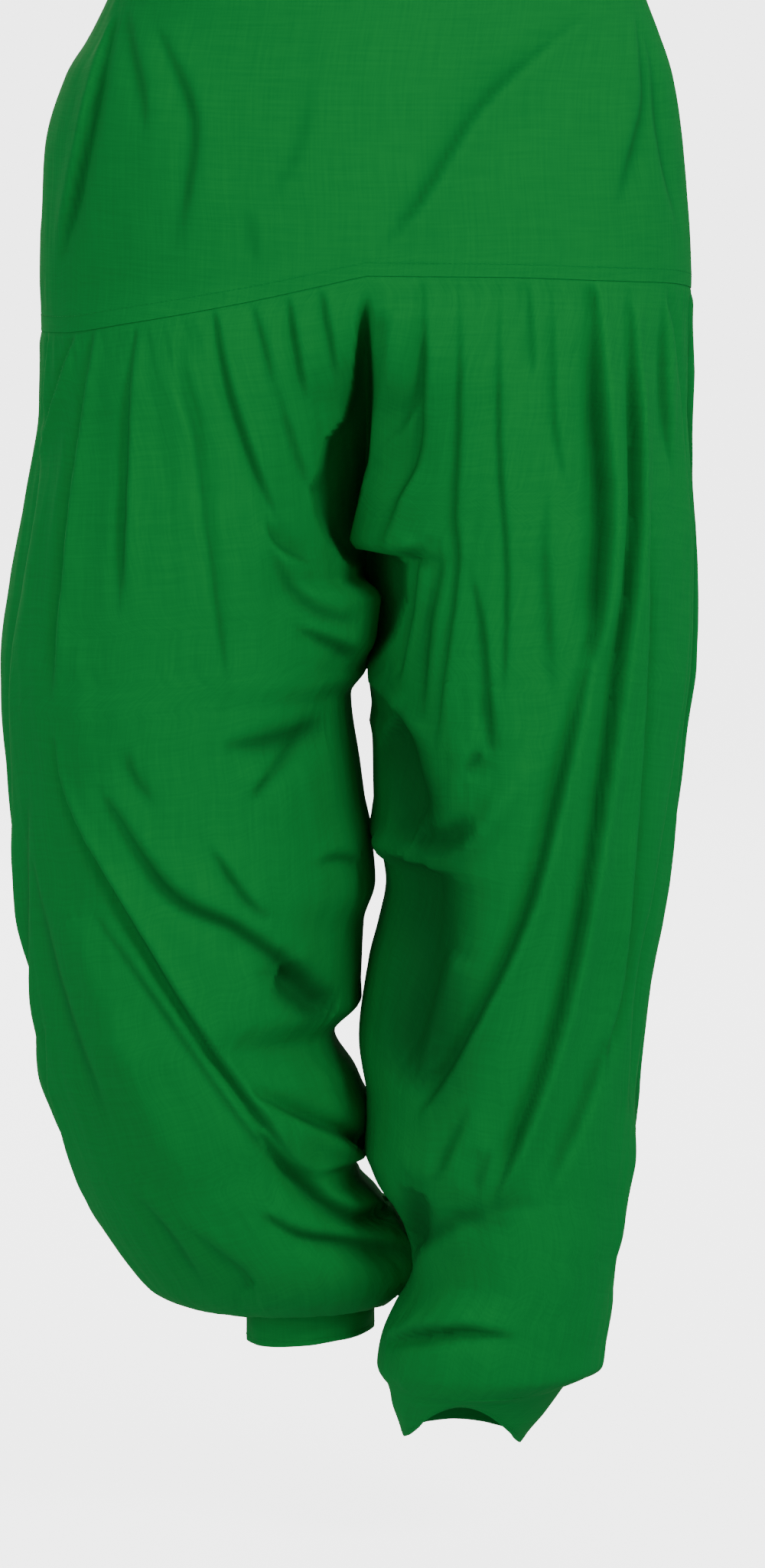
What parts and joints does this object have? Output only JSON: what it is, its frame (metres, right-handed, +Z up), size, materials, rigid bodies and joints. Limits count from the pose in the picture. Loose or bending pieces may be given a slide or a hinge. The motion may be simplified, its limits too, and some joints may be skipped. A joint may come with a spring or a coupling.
{
  "type": "patiala salwar",
  "caption": "Worn-shape patiala salwar: gathered drawstring casing, deep plain hip yoke, ballooned legs pleated into the yoke seam, low crotch and narrow ankle cuffs.",
  "frame": {"origin": "middle of the waist opening, level with the casing's top edge, where the waist holds the garment up", "axes": "+Z up, +Y to the back of the garment, +X to the garment's left"},
  "size_m": [0.434, 0.2826, 0.969],
  "materials": {
    "green_cotton": "matte plain-weave cotton",
    "green_cotton_double": "matte plain-weave cotton, sewn double"
  },
  "bodies": {
    "root": {"waist_casing": "green_cotton_double", "yoke_front": "green_cotton", "yoke_back": "green_cotton", "right_leg_front": "green_cotton", "right_leg_back": "green_cotton", "left_leg_front": "green_cotton", "left_leg_back": "green_cotton", "right_ankle_cuff": "green_cotton_double", "left_ankle_cuff": "green_cotton_double"}
  },
  "joints": []
}
